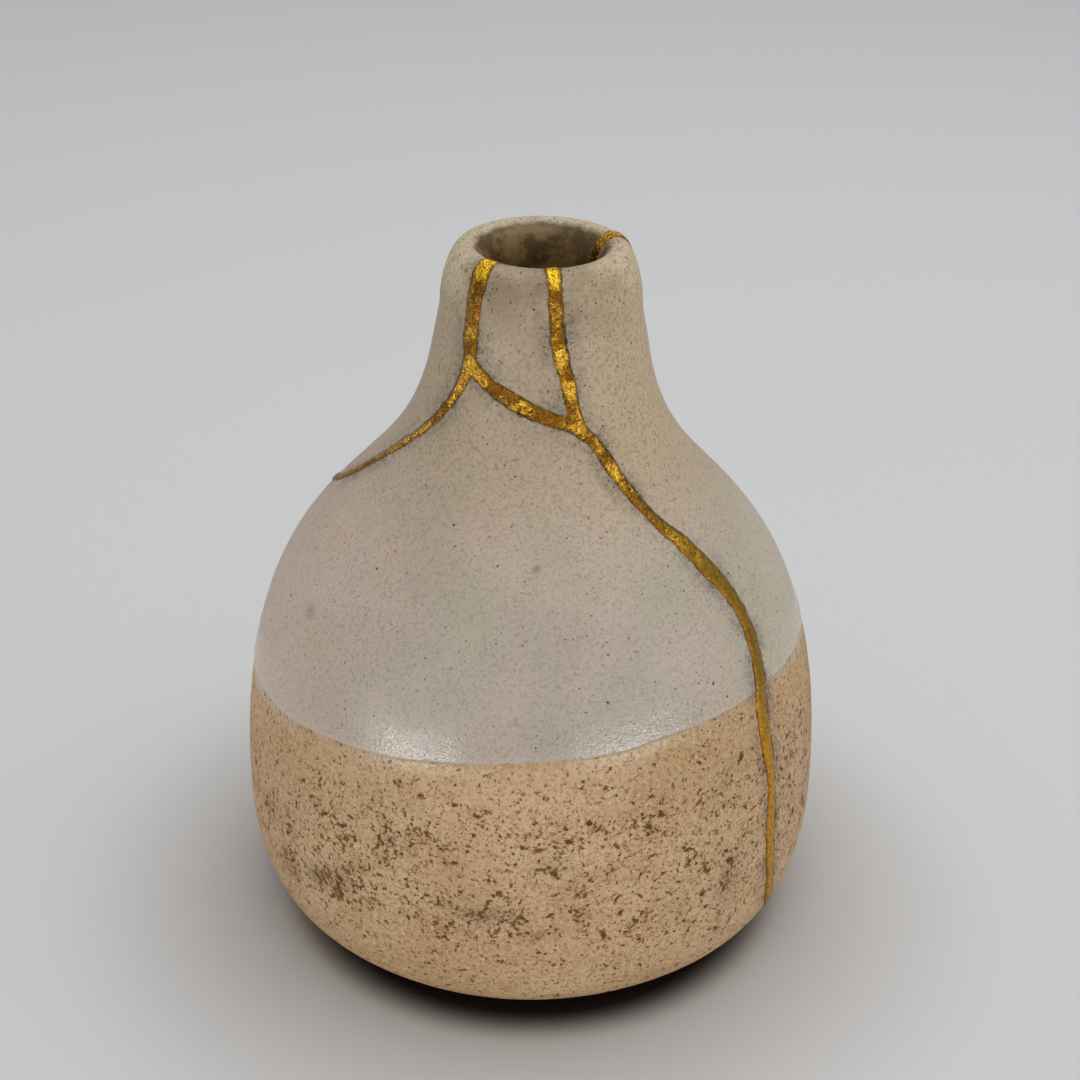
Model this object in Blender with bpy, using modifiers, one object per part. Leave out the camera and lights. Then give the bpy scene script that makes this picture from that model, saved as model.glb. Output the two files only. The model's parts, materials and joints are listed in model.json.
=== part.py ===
"""Small stoneware bud vase, broken into four shards and mended with seams of gold lacquer.

The vase is thrown round: a flat foot, a rounded base, a full belly, a shoulder that sweeps into a
slightly leaning neck, and a thick rounded lip round a narrow mouth. Lengths are in metres and +Z is up.
The origin is the centre of the foot. An azimuth of 0 faces -Y, the front, and 90 faces +X.
"""
import math

import bpy
import bmesh
from mathutils import Vector

# Outer skin of the vessel
HEIGHT = 0.1
BELLY_RADIUS = 0.0418
BELLY_HEIGHT = 0.0188
FOOT_RADIUS = 0.0269
NECK_RADIUS = 0.015
NECK_LENGTH = 0.0069
NECK_LEAN = 0.0008

# Fullness of the curves, as shares of their own spans, and where the neck starts to lean
BASE_FULLNESS_OUT = 0.75
BASE_FULLNESS_UP = 0.65
BELLY_FULLNESS = 0.747
NECK_SWEEP = 0.375
LEAN_START = 0.45

# Lip and mouth
LIP_RADIUS = 0.0137
LIP_OUTER_ROUND = 0.0084
LIP_INNER_ROUND = 0.003
LIP_INNER_FALL = 0.0048
MOUTH_RADIUS = 0.0071
BORE_FLARE = 0.0008

# Wall, which starts to thicken towards the neck at this share of the height
WALL = 0.005
FLOOR = 0.0055
THICKENING_START = 0.5

# Height where the shoulder's sweep ends and the straight neck begins
NECK_FOOT = HEIGHT - LIP_OUTER_ROUND - NECK_LENGTH

# Gold seams
SEAM_WIDTH = 0.002
SEAM_RISE = 0.00035
SEAM_RISE_INSIDE = 0.0002
SEAM_CLEARANCE = 0.0003
CUT_MARGIN = 0.0015
MERGE_DISTANCE = 0.00001
SHARP_DEGREES = 35.0

# Facets of the turned skins and steps along a seam
TURN_STEPS = 48
BASE_STEPS = 6
SIDE_STEPS = 12
NECK_STEPS = 2
LIP_OUTER_STEPS = 4
LIP_INNER_STEPS = 3
SEAM_STEP = 0.0033

# Knots of the break lines: azimuth in degrees, share of HEIGHT, share of SEAM_WIDTH.
# A share over 1 runs the break out over the lip.
LEFT_FORK = (-39.3, 0.874, 1.1)
RIGHT_FORK = (19.5, 0.804, 0.95)
BACK_FORK = (145.0, 0.655, 0.9)
FOOT_FORK = (108.0, 0.06, 0.9)
LEFT_SEAM = [
    (-43.5, 1.06, 1.4), (-40.8, 0.965, 1.3), (-41.2, 0.905, 1.3), LEFT_FORK,
    (-43.5, 0.841, 0.85), (-55.2, 0.786, 0.7), (-78.2, 0.711, 0.62), (-97.0, 0.635, 0.65),
    (-120.0, 0.585, 0.75), (-150.0, 0.575, 0.85), (-185.0, 0.61, 0.8),
    (BACK_FORK[0] - 360.0, *BACK_FORK[1:]),
]
RIGHT_SEAM = [
    (6.8, 1.06, 1.1), (8.3, 0.955, 0.95), (9.2, 0.92, 1.0), (14.0, 0.866, 0.95), RIGHT_FORK,
    (28.2, 0.772, 0.9), (42.5, 0.681, 0.85), (49.0, 0.64, 1.35), (54.5, 0.574, 1.25),
    (55.2, 0.51, 1.1), (52.8, 0.416, 1.4), (53.8, 0.316, 0.95), (54.0, 0.214, 1.15),
    (57.5, 0.1, 0.95), (66.0, 0.047, 0.85), (86.0, 0.04, 0.85), FOOT_FORK,
]
BRIDGE_SEAM = [LEFT_FORK, (-29.5, 0.858, 0.95), (-11.8, 0.835, 1.05), (3.5, 0.818, 0.95), RIGHT_FORK]
BACK_SEAM = [
    (107.0, 1.06, 1.35), (112.5, 0.96, 1.1), (119.0, 0.89, 0.85), (131.0, 0.77, 0.8), BACK_FORK,
    (153.0, 0.52, 0.95), (151.0, 0.36, 1.0), (137.0, 0.19, 1.0), FOOT_FORK,
]

# A place on each shard, as azimuth and share of HEIGHT, by which it is known after the breaks are cut
SHARDS = {
    "lower_body_shard": (-20.0, 0.3),
    "front_neck_shard": (-12.0, 0.9),
    "left_neck_shard": (-90.0, 0.85),
    "right_side_shard": (90.0, 0.5),
}


def bezier(start, pull_start, pull_end, end, steps):
    """Points on a cubic Bezier curve after its start, as (radius, height) pairs."""
    points = []
    for index in range(1, steps + 1):
        t = index / steps
        weights = ((1 - t) ** 3, 3 * t * (1 - t) ** 2, 3 * t * t * (1 - t), t ** 3)
        corners = (start, pull_start, pull_end, end)
        points.append(tuple(sum(w * c[k] for w, c in zip(weights, corners)) for k in range(2)))
    return points


def quarter_round(centre, radius, rise, first, last, steps):
    """Points on a quarter of an ellipse after its start; the angles are in quarter turns."""
    points = []
    for index in range(1, steps + 1):
        angle = math.pi / 2 * (first + (last - first) * index / steps)
        points.append((centre[0] + radius * math.cos(angle), centre[1] + rise * math.sin(angle)))
    return points


def outer_wall():
    """The outer skin from the foot's edge up to where the lip starts to round over."""
    taper = (LIP_RADIUS - NECK_RADIUS) / NECK_LENGTH
    belly = (BELLY_RADIUS, BELLY_HEIGHT)
    neck = (NECK_RADIUS, NECK_FOOT)
    round_out = (BELLY_RADIUS - FOOT_RADIUS) * BASE_FULLNESS_OUT
    round_up = BELLY_HEIGHT * BASE_FULLNESS_UP
    lift = (NECK_FOOT - BELLY_HEIGHT) * BELLY_FULLNESS
    sweep = (NECK_FOOT - BELLY_HEIGHT) * NECK_SWEEP
    points = [(FOOT_RADIUS, 0.0)]
    points += bezier(
        points[0], (FOOT_RADIUS + round_out, 0.0), (BELLY_RADIUS, BELLY_HEIGHT - round_up), belly, BASE_STEPS)
    points += bezier(
        belly, (BELLY_RADIUS, BELLY_HEIGHT + lift),
        (NECK_RADIUS - taper * sweep, NECK_FOOT - sweep), neck, SIDE_STEPS)
    for index in range(1, NECK_STEPS + 1):
        up = NECK_LENGTH * index / NECK_STEPS
        points.append((NECK_RADIUS + taper * up, NECK_FOOT + up))
    return points


def smooth(value):
    """A smooth step from 0 to 1."""
    t = min(max(value, 0.0), 1.0)
    return t * t * (3 - 2 * t)


def wall_thickness(height):
    """The wall's thickness behind a point of the outer skin: floor, side, then the neck round its bore."""
    neck_wall = NECK_RADIUS - MOUTH_RADIUS - BORE_FLARE
    start = HEIGHT * THICKENING_START
    side = FLOOR + (WALL - FLOOR) * smooth(height / BELLY_HEIGHT)
    return side + (neck_wall - WALL) * smooth((height - start) / (NECK_FOOT - start))


def skin_normals(points):
    """The outward direction at each point of the outer wall, in the plane of the profile."""
    normals = [(0.0, -1.0)]
    for before, after in zip(points, points[2:]):
        along = Vector((after[0] - before[0], after[1] - before[1])).normalized()
        normals.append((along.y, -along.x))
    normals.append((1.0, 0.0))
    return normals


def vessel_profile(grow_out=0.0, grow_in=0.0):
    """The wall's section from the middle of the inner floor, over the lip, to the middle of the foot."""
    outside = outer_wall()
    normals = skin_normals(outside)
    lip_start = len(outside) - NECK_STEPS
    inside = []
    for (radius, height), normal in zip(outside[:lip_start], normals):
        depth = wall_thickness(height) + grow_in
        inside.append((radius - normal[0] * depth, height - normal[1] * depth))
    crest = MOUTH_RADIUS + LIP_INNER_ROUND
    top = HEIGHT + grow_out
    bore_end = (MOUTH_RADIUS - grow_in, HEIGHT - LIP_INNER_FALL)
    profile = [(0.0, inside[0][1])] + inside + [bore_end]
    profile += quarter_round(
        (crest, bore_end[1]), crest - bore_end[0], top - bore_end[1], 2, 1, LIP_INNER_STEPS)
    lip_foot = HEIGHT - LIP_OUTER_ROUND
    profile += quarter_round(
        (crest, lip_foot), LIP_RADIUS + grow_out - crest, top - lip_foot, 1, 0, LIP_OUTER_STEPS)
    for (radius, height), normal in list(zip(outside, normals))[-2::-1]:
        profile.append((radius + normal[0] * grow_out, height + normal[1] * grow_out))
    profile.append((0.0, profile[-1][1]))
    return profile


def turned(name, profile, collection):
    """A turned solid: the profile swept once round the axis by a Screw modifier."""
    mesh = bpy.data.meshes.new(name)
    points = [(radius, 0.0, height) for radius, height in profile]
    mesh.from_pydata(points, [(i, i + 1) for i in range(len(points) - 1)], [])
    solid = bpy.data.objects.new(name, mesh)
    collection.objects.link(solid)
    screw = solid.modifiers.new("turn", "SCREW")
    screw.steps = TURN_STEPS
    screw.render_steps = TURN_STEPS
    screw.use_merge_vertices = True
    screw.merge_threshold = MERGE_DISTANCE
    screw.use_smooth_shade = True
    return solid


def wall_frame(azimuth, height):
    """A point on the outer skin, and the outward direction there."""
    turn = math.radians(azimuth)
    heading = Vector((math.sin(turn), -math.cos(turn), 0.0))
    points = outer_wall()
    normals = skin_normals(points)
    if height >= points[-1][1]:
        return heading * LIP_RADIUS + Vector((0.0, 0.0, height)), heading
    upper = next(i for i, point in enumerate(points) if point[1] > height)
    share = (height - points[upper - 1][1]) / (points[upper][1] - points[upper - 1][1])
    radius = points[upper - 1][0] + (points[upper][0] - points[upper - 1][0]) * share
    out = [normals[upper - 1][k] + (normals[upper][k] - normals[upper - 1][k]) * share for k in range(2)]
    normal = (heading * out[0] + Vector((0.0, 0.0, out[1]))).normalized()
    return heading * radius + Vector((0.0, 0.0, height)), normal


def through_knots(knots):
    """A smooth curve through the knots: azimuth, height and width at even steps along the wall."""
    ends = [tuple(2 * a - b for a, b in zip(knots[0], knots[1])),
            tuple(2 * a - b for a, b in zip(knots[-1], knots[-2]))]
    padded = [ends[0]] + list(knots) + [ends[1]]
    samples = []
    for before, start, end, after in zip(padded, padded[1:], padded[2:], padded[3:]):
        here = wall_frame(start[0], start[1] * HEIGHT)[0]
        there = wall_frame(end[0], end[1] * HEIGHT)[0]
        steps = max(1, round((there - here).length / SEAM_STEP))
        for index in range(steps):
            t = index / steps
            samples.append(tuple(
                0.5 * (2 * s + (e - b) * t + (2 * b - 5 * s + 4 * e - a) * t * t
                       + (3 * s - b - 3 * e + a) * t ** 3)
                for b, s, e, a in zip(before, start, end, after)))
    samples.append(tuple(knots[-1]))
    return samples


def seam_slab(name, knots, clearance, collection):
    """A slab along a break line that passes right through the wall, as wide as the gold and a clearance."""
    samples = through_knots(knots)
    frames = [wall_frame(azimuth, share * HEIGHT) for azimuth, share, width in samples]
    corners = []
    for index, (point, normal) in enumerate(frames):
        before = frames[max(index - 1, 0)][0]
        after = frames[min(index + 1, len(frames) - 1)][0]
        along = (after - before).normalized()
        side = along.cross(normal).normalized()
        half = samples[index][2] * SEAM_WIDTH / 2 + clearance
        if index in (0, len(frames) - 1):
            point = point + along * half * (1 if index else -1)
        outward = normal * (SEAM_RISE + CUT_MARGIN)
        inward = normal * -(wall_thickness(point.z) + CUT_MARGIN)
        corners += [point - side * half + inward, point + side * half + inward,
                    point + side * half + outward, point - side * half + outward]
    faces = [(3, 2, 1, 0), tuple(len(corners) - 4 + k for k in range(4))]
    for ring in range(0, len(corners) - 4, 4):
        for k in range(4):
            n = (k + 1) % 4
            faces += [(ring + k, ring + n, ring + 4 + n), (ring + k, ring + 4 + n, ring + 4 + k)]
    mesh = bpy.data.meshes.new(name)
    mesh.from_pydata(corners, [], faces)
    shape = bmesh.new()
    shape.from_mesh(mesh)
    bmesh.ops.recalc_face_normals(shape, faces=shape.faces)
    shape.to_mesh(mesh)
    shape.free()
    slab = bpy.data.objects.new(name, mesh)
    collection.objects.link(slab)
    return slab


def hide_cutter(cutter):
    """A cutter shapes other solids and isn't part of the vase."""
    cutter.hide_render = True
    cutter.display_type = "WIRE"


def combine(solid, operation, other):
    """Adds an exact Boolean to a solid."""
    step = solid.modifiers.new(operation.lower(), "BOOLEAN")
    step.operation = operation
    step.solver = "EXACT"
    step.object = other
    hide_cutter(other)


def baked(solid, name, collection):
    """The solid with its modifiers applied, as a new object; the old one is removed."""
    bpy.context.view_layer.update()
    view = solid.evaluated_get(bpy.context.evaluated_depsgraph_get())
    result = bpy.data.objects.new(name, bpy.data.meshes.new_from_object(view))
    collection.objects.link(result)
    bpy.data.objects.remove(solid)
    return result


def break_lines(name, clearance, collection):
    """All the break lines joined into one network of slabs."""
    seams = (LEFT_SEAM, RIGHT_SEAM, BRIDGE_SEAM, BACK_SEAM)
    slabs = [seam_slab(f"{name}_{index}", seam, clearance, collection) for index, seam in enumerate(seams)]
    for slab in slabs[1:]:
        combine(slabs[0], "UNION", slab)
    network = baked(slabs[0], name, collection)
    for slab in slabs[1:]:
        bpy.data.objects.remove(slab)
    hide_cutter(network)
    return network


def lean_neck(solid):
    """Shifts the neck sideways, more towards the lip, as the hand-thrown neck leans."""
    for vertex in solid.data.vertices:
        share = (vertex.co.z / HEIGHT - LEAN_START) / (1 - LEAN_START)
        vertex.co.x += NECK_LEAN * smooth(share)


def loose_parts(solid, collection):
    """Splits a solid into its separate bodies."""
    bpy.context.view_layer.objects.active = solid
    solid.select_set(True)
    bpy.ops.object.mode_set(mode="EDIT")
    bpy.ops.mesh.select_all(action="SELECT")
    bpy.ops.mesh.separate(type="LOOSE")
    bpy.ops.object.mode_set(mode="OBJECT")
    return [piece for piece in collection.objects if piece.name.startswith(solid.name)]


def material(name, colour, roughness, metallic):
    """A Principled material of one plain colour."""
    finish = bpy.data.materials.new(name)
    finish.use_nodes = True
    shader = finish.node_tree.nodes["Principled BSDF"]
    shader.inputs["Base Color"].default_value = (*colour, 1.0)
    shader.inputs["Roughness"].default_value = roughness
    shader.inputs["Metallic"].default_value = metallic
    return finish


def dress(solid, name, finish):
    """Names a finished piece, gives it its material and shades its round faces smooth."""
    solid.name = name
    solid.data.name = name
    solid.data.materials.clear()
    solid.data.materials.append(finish)
    solid.data.shade_smooth()
    solid.data.set_sharp_from_angle(angle=math.radians(SHARP_DEGREES))


def make_shards(vase, cutters):
    """Cuts the turned vessel along the widened break lines and names each shard by its place."""
    vessel = turned("vessel", vessel_profile(), vase)
    combine(vessel, "DIFFERENCE", break_lines("wide_breaks", SEAM_CLEARANCE, cutters))
    pieces = loose_parts(baked(vessel, "shard", vase), vase)
    shards = {}
    for name, (azimuth, share) in SHARDS.items():
        place = wall_frame(azimuth, share * HEIGHT)[0]
        shards[name] = min(
            pieces, key=lambda piece: min((vertex.co - place).length for vertex in piece.data.vertices))
    return shards


def make_gold(vase, cutters):
    """The gold is the network of break lines inside a wall that is a little thicker than the vessel's."""
    blank = turned("blank", vessel_profile(SEAM_RISE, SEAM_RISE_INSIDE), vase)
    combine(blank, "INTERSECT", break_lines("gold_breaks", 0.0, cutters))
    return baked(blank, "gold_seams", vase)


def main():
    for old in list(bpy.data.objects):
        bpy.data.objects.remove(old)
    vase = bpy.data.collections.new("mended_bud_vase")
    cutters = bpy.data.collections.new("cutters")
    for collection in (vase, cutters):
        bpy.context.scene.collection.children.link(collection)

    bare_clay = (0.42, 0.27, 0.15)
    glaze = (0.37, 0.32, 0.26)
    colours = {
        "lower_body_shard": (bare_clay, 0.75),
        "front_neck_shard": (glaze, 0.45),
        "left_neck_shard": (glaze, 0.45),
        "right_side_shard": (glaze, 0.45),
    }
    shards = make_shards(vase, cutters)
    for name, piece in shards.items():
        colour, roughness = colours[name]
        lean_neck(piece)
        dress(piece, name, material(name, colour, roughness, 0.0))

    gold = make_gold(vase, cutters)
    lean_neck(gold)
    dress(gold, "gold_seams", material("gold_seams", (0.72, 0.45, 0.08), 0.32, 1.0))


main()
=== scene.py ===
"""Looks of the small stoneware bud vase that was broken into four shards and mended with gold lacquer.

The skins are built on one grid of azimuth and distance along the wall. The break lines are cut out of it
exactly, and the gold is laid over them as a raised bead. Lengths are in metres unless a name ends in _MM,
+Z is up, and an azimuth of 0 faces -Y, the front.
"""
import json
import math

import bpy
import numpy as np
from mathutils import Matrix, Vector

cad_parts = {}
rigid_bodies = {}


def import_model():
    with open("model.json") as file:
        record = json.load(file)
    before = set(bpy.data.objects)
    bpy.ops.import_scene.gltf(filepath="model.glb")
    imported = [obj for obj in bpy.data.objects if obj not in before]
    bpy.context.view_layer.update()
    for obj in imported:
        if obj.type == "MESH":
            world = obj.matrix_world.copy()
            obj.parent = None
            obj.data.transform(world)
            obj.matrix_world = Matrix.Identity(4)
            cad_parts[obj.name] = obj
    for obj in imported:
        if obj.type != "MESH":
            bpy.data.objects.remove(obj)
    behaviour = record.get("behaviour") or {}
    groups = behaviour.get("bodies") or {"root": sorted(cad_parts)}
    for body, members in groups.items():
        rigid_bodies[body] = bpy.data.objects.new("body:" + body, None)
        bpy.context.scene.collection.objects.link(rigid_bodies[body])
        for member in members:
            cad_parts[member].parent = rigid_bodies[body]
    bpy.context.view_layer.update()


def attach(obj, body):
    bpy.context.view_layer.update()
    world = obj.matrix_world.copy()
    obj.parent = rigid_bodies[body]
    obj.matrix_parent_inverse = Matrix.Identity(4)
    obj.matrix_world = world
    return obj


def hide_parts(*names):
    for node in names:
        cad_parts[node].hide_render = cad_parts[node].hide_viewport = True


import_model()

MM = 0.001

# Sizes of the vessel, as in the CAD source
HEIGHT = 0.1
BELLY_RADIUS = 0.0418
BELLY_HEIGHT = 0.0188
FOOT_RADIUS = 0.0269
NECK_RADIUS = 0.015
NECK_LENGTH = 0.0069
NECK_LEAN = 0.0008
BASE_FULLNESS_OUT = 0.75
BASE_FULLNESS_UP = 0.65
BELLY_FULLNESS = 0.747
NECK_SWEEP = 0.375
LEAN_START = 0.45
LIP_RADIUS = 0.0137
LIP_OUTER_ROUND = 0.0084
LIP_INNER_ROUND = 0.003
LIP_INNER_FALL = 0.0048
MOUTH_RADIUS = 0.0071
BORE_FLARE = 0.0008
WALL = 0.005
FLOOR = 0.0055
THICKENING_START = 0.5
NECK_FOOT = HEIGHT - LIP_OUTER_ROUND - NECK_LENGTH
CREST_RADIUS = MOUTH_RADIUS + LIP_INNER_ROUND

# Points on each part of the sections, between two knots of a break line, and on the floor's bend
FOOT_STEPS = 40
BASE_STEPS = 150
SIDE_STEPS = 300
NECK_STEPS = 30
LIP_STEPS = 60
BORE_STEPS = 60
KNOT_STEPS = 24
BEND_STEPS = 16

# Distances that count as none
HEIGHT_TOUCH = 1e-9
CREST_TOUCH = 1e-7

# Break lines, as in the CAD source: azimuth in degrees, share of HEIGHT, share of SEAM_WIDTH
SEAM_WIDTH_MM = 2.0
LEFT_FORK = (-39.3, 0.874, 1.1)
RIGHT_FORK = (19.5, 0.804, 0.95)
BACK_FORK = (145.0, 0.655, 0.9)
FOOT_FORK = (108.0, 0.06, 0.9)
SEAMS = [
    [(-43.5, 1.06, 1.4), (-40.8, 0.965, 1.3), (-41.2, 0.905, 1.3), LEFT_FORK,
     (-43.5, 0.841, 0.85), (-55.2, 0.786, 0.7), (-78.2, 0.711, 0.62), (-97.0, 0.635, 0.65),
     (-120.0, 0.585, 0.75), (-150.0, 0.575, 0.85), (-185.0, 0.61, 0.8),
     (BACK_FORK[0] - 360.0, *BACK_FORK[1:])],
    [(6.8, 1.06, 1.1), (8.3, 0.955, 0.95), (9.2, 0.92, 1.0), (14.0, 0.866, 0.95), RIGHT_FORK,
     (28.2, 0.772, 0.9), (42.5, 0.681, 0.85), (49.0, 0.64, 1.35), (54.5, 0.574, 1.25),
     (55.2, 0.51, 1.1), (52.8, 0.416, 1.4), (53.8, 0.316, 0.95), (54.0, 0.214, 1.15),
     (57.5, 0.1, 0.95), (66.0, 0.047, 0.85), (86.0, 0.04, 0.85), FOOT_FORK],
    [LEFT_FORK, (-29.5, 0.858, 0.95), (-11.8, 0.835, 1.05), (3.5, 0.818, 0.95), RIGHT_FORK],
    [(107.0, 1.06, 1.35), (112.5, 0.96, 1.1), (119.0, 0.89, 0.85), (131.0, 0.77, 0.8), BACK_FORK,
     (153.0, 0.52, 0.95), (151.0, 0.36, 1.0), (137.0, 0.19, 1.0), FOOT_FORK],
]
SEAM_STEP_MM = 0.8
FORK_FILLET_MM = 0.5
POINTS_AT_ONCE = 4000

# Where each shard lies, as azimuth and share of HEIGHT, and the record's slot for its finish
SHARDS = {
    "lower_body_shard": (-20.0, 0.3, "bare_clay"),
    "front_neck_shard": (-12.0, 0.9, "glaze"),
    "left_neck_shard": (-90.0, 0.85, "glaze"),
    "right_side_shard": (90.0, 0.5, "glaze"),
}

# Waves of noise have a strength, in mm or as a share of the bead's, a shift and a size

# Plane down to which the pot was dipped in glaze, the heights between which the wall is searched for it,
# and the waves of a hand dip
DIP_HEIGHT = 0.04145
DIP_SLOPE_X = 0.0843
DIP_SLOPE_Y = -0.0628
DIP_LOWEST = 0.02
DIP_HIGHEST = 0.06
HALVINGS = 30
DIP_RING = 10
DIP_WAVES = ((0.3, 3.3, 3.0), (0.12, 7.7, 0.8))

# Glaze coat at its edge: the clay's fall below it, the edge's roll, the step's start and width, how far
# roll and fall reach, and the distance from the edge that stands for the glazed inside
GLAZE_FALL_MM = 0.07
GLAZE_ROLL_MM = 0.15
GLAZE_EDGE_START_MM = -0.12
GLAZE_EDGE_MM = 0.4
GLAZE_ROLL_WIDTH_MM = 2.8
CLAY_FALL_WIDTH_MM = 5.0
INSIDE_LINE_MM = 50.0

# Unevenness of the thrown wall: dents and rings, how far they sink the skin so that it stays in the CAD
# box, and the lengths over which they fade at the crest and the foot
DENT_WAVES = ((0.1, 0.0, 0.016), (0.03, 0.5, 0.005))
DENT_SINK_MM = 0.11
RING_WAVES = ((0.025, 0.2, 0.0021),)
RING_STRETCH = (0.2, 0.2, 1.0)
RING_SINK_MM = 0.02
CREST_FADE = 0.006
FOOT_FADE = 0.008

# Smudges on the outside: azimuth in degrees, share of HEIGHT, half width and half height in mm, strength
SMUDGES = [
    (-38.0, 0.205, 3.0, 1.9, 1.0),
    (-44.0, 0.185, 2.2, 1.8, 1.0),
    (-54.0, 0.16, 3.0, 2.2, 0.8),
    (-8.0, 0.215, 5.5, 1.1, 0.9),
    (4.5, 0.295, 2.0, 1.4, 0.6),
    (41.0, 0.2, 2.6, 3.6, 0.7),
    (-58.5, 0.54, 1.0, 1.0, 1.0),
    (-18.0, 0.975, 2.6, 1.4, 0.6),
    (22.0, 0.955, 0.8, 0.8, 0.8),
    (1.0, 0.653, 0.45, 0.45, 2.0),
    (1.5, 0.181, 0.5, 0.5, 2.0),
]

# Gold bead: its heights and depths, the waves of its edge and top, its section, and the neck's crumples
BEAD_RISE_MM = 0.33
BEAD_RISE_INSIDE_MM = 0.18
BEAD_SINK_MM = 0.04
BEAD_DEPTH_MM = 0.5
BEAD_OVERLAP_MM = 0.1
BEAD_WAVE_MM = 0.13
BEAD_EDGE_WAVES = ((1.0, 0.0, 0.0026), (0.7, 0.3, 0.0009), (0.35, 0.6, 0.0004))
BEAD_LEVEL = 0.8
BEAD_TOP_WAVES = ((0.1, 0.0, 0.004), (0.05, 0.0, 0.0013))
BEAD_SHOULDER_MM = 0.75
BEAD_ROUNDNESS = 2.2
BEAD_CELLS_REACH_MM = 1.0
CRUMPLE = 0.22
CRUMPLE_SHIFT = 0.7
CRUMPLE_SIZE = 0.0009
CRUMPLE_LIMITS = (-1.0, 0.2)
CRUMPLE_START = 0.055
CRUMPLE_RUN = 0.02

# Grid of the skins: rows on the foot, rows by their distance from the glaze's edge, and the counts between
COLUMNS = 400
FOOT_ROWS_MM = (0.0, 3.0, 6.5, 10.0, 13.5, 17.0, 20.0, 22.5, 24.5, 25.9)
EDGE_ROWS_MM = (-3.0, -2.2, -1.5, -1.0, -0.65, -0.4, -0.22, -0.1, -0.03, 0.03, 0.1, 0.18, 0.28, 0.42,
                0.62, 0.95, 1.5, 2.2, 3.0)
LOWER_ROWS = 66
UPPER_ROWS = 72
NECK_ROWS = 40
GOLD_SPLIT_U = 2
GOLD_SPLIT_S = 2


def bezier(start, pull_start, pull_end, end, steps):
    """Points on a cubic Bezier curve after its start."""
    t = np.linspace(0.0, 1.0, steps + 1)[1:, None]
    corners = [np.array(p) for p in (start, pull_start, pull_end, end)]
    return ((1 - t) ** 3 * corners[0] + 3 * t * (1 - t) ** 2 * corners[1]
            + 3 * t * t * (1 - t) * corners[2] + t ** 3 * corners[3])


def smooth(value):
    """A smooth step from 0 to 1."""
    t = np.clip(value, 0.0, 1.0)
    return t * t * (3 - 2 * t)


def arc_lengths(points):
    """The distance along a polyline at each of its points."""
    steps = np.hypot(*np.diff(points, axis=0).T)
    return np.concatenate([[0.0], np.cumsum(steps)])


def outer_profile():
    """The outer skin's section from the middle of the foot to the crest of the lip."""
    taper = (LIP_RADIUS - NECK_RADIUS) / NECK_LENGTH
    round_out = (BELLY_RADIUS - FOOT_RADIUS) * BASE_FULLNESS_OUT
    lift = (NECK_FOOT - BELLY_HEIGHT) * BELLY_FULLNESS
    sweep = (NECK_FOOT - BELLY_HEIGHT) * NECK_SWEEP
    foot = np.linspace((0.0, 0.0), (FOOT_RADIUS, 0.0), FOOT_STEPS)
    base = bezier(
        (FOOT_RADIUS, 0.0), (FOOT_RADIUS + round_out, 0.0),
        (BELLY_RADIUS, BELLY_HEIGHT * (1 - BASE_FULLNESS_UP)), (BELLY_RADIUS, BELLY_HEIGHT), BASE_STEPS)
    side = bezier(
        (BELLY_RADIUS, BELLY_HEIGHT), (BELLY_RADIUS, BELLY_HEIGHT + lift),
        (NECK_RADIUS - taper * sweep, NECK_FOOT - sweep), (NECK_RADIUS, NECK_FOOT), SIDE_STEPS)
    neck = np.linspace((NECK_RADIUS, NECK_FOOT), (LIP_RADIUS, NECK_FOOT + NECK_LENGTH), NECK_STEPS)[1:]
    turn = np.linspace(0.0, math.pi / 2, LIP_STEPS)[1:]
    lip = np.stack([CREST_RADIUS + (LIP_RADIUS - CREST_RADIUS) * np.cos(turn),
                    HEIGHT - LIP_OUTER_ROUND + LIP_OUTER_ROUND * np.sin(turn)], axis=1)
    return np.concatenate([foot, base, side, neck, lip])


def profile_normals(points):
    """The outward direction at each point of a section that runs up the outside."""
    along = np.gradient(points, axis=0)
    along /= np.linalg.norm(along, axis=1)[:, None]
    return np.stack([along[:, 1], -along[:, 0]], axis=1)


def wall_thickness(height):
    """The wall's thickness behind a point of the outer skin."""
    neck_wall = NECK_RADIUS - MOUTH_RADIUS - BORE_FLARE
    start = HEIGHT * THICKENING_START
    side = FLOOR + (WALL - FLOOR) * smooth(height / BELLY_HEIGHT)
    return side + (neck_wall - WALL) * smooth((height - start) / (NECK_FOOT - start))


def inner_profile(points, normals, lengths):
    """The inner skin's section at the same stations as the outer one."""
    neck_start = int(np.argmax(points[:, 1] >= NECK_FOOT - HEIGHT_TOUCH))
    inside = points - normals * wall_thickness(points[:, 1])[:, None]
    bore = np.linspace(inside[neck_start], (MOUTH_RADIUS, HEIGHT - LIP_INNER_FALL), BORE_STEPS)
    turn = np.linspace(math.pi, math.pi / 2, LIP_STEPS)[1:]
    rim = np.stack([CREST_RADIUS + LIP_INNER_ROUND * np.cos(turn),
                    HEIGHT - LIP_INNER_FALL + LIP_INNER_FALL * np.sin(turn)], axis=1)
    bore = np.concatenate([bore, rim])
    bore_lengths = arc_lengths(bore)
    share = (lengths[neck_start:] - lengths[neck_start]) / (lengths[-1] - lengths[neck_start])
    for axis in range(2):
        inside[neck_start:, axis] = np.interp(share * bore_lengths[-1], bore_lengths, bore[:, axis])
    return inside


OUTER = outer_profile()
STATIONS = arc_lengths(OUTER)
OUTER_NORMALS = profile_normals(OUTER)
INNER = inner_profile(OUTER, OUTER_NORMALS, STATIONS)
INNER_NORMALS = -profile_normals(INNER)
CREST = STATIONS[-1]


def station_at(height):
    """The station of the outer skin at a height above the foot."""
    return np.interp(height, OUTER[FOOT_STEPS:, 1], STATIONS[FOOT_STEPS:])


NECK_STATION = float(station_at(NECK_FOOT))


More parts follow.
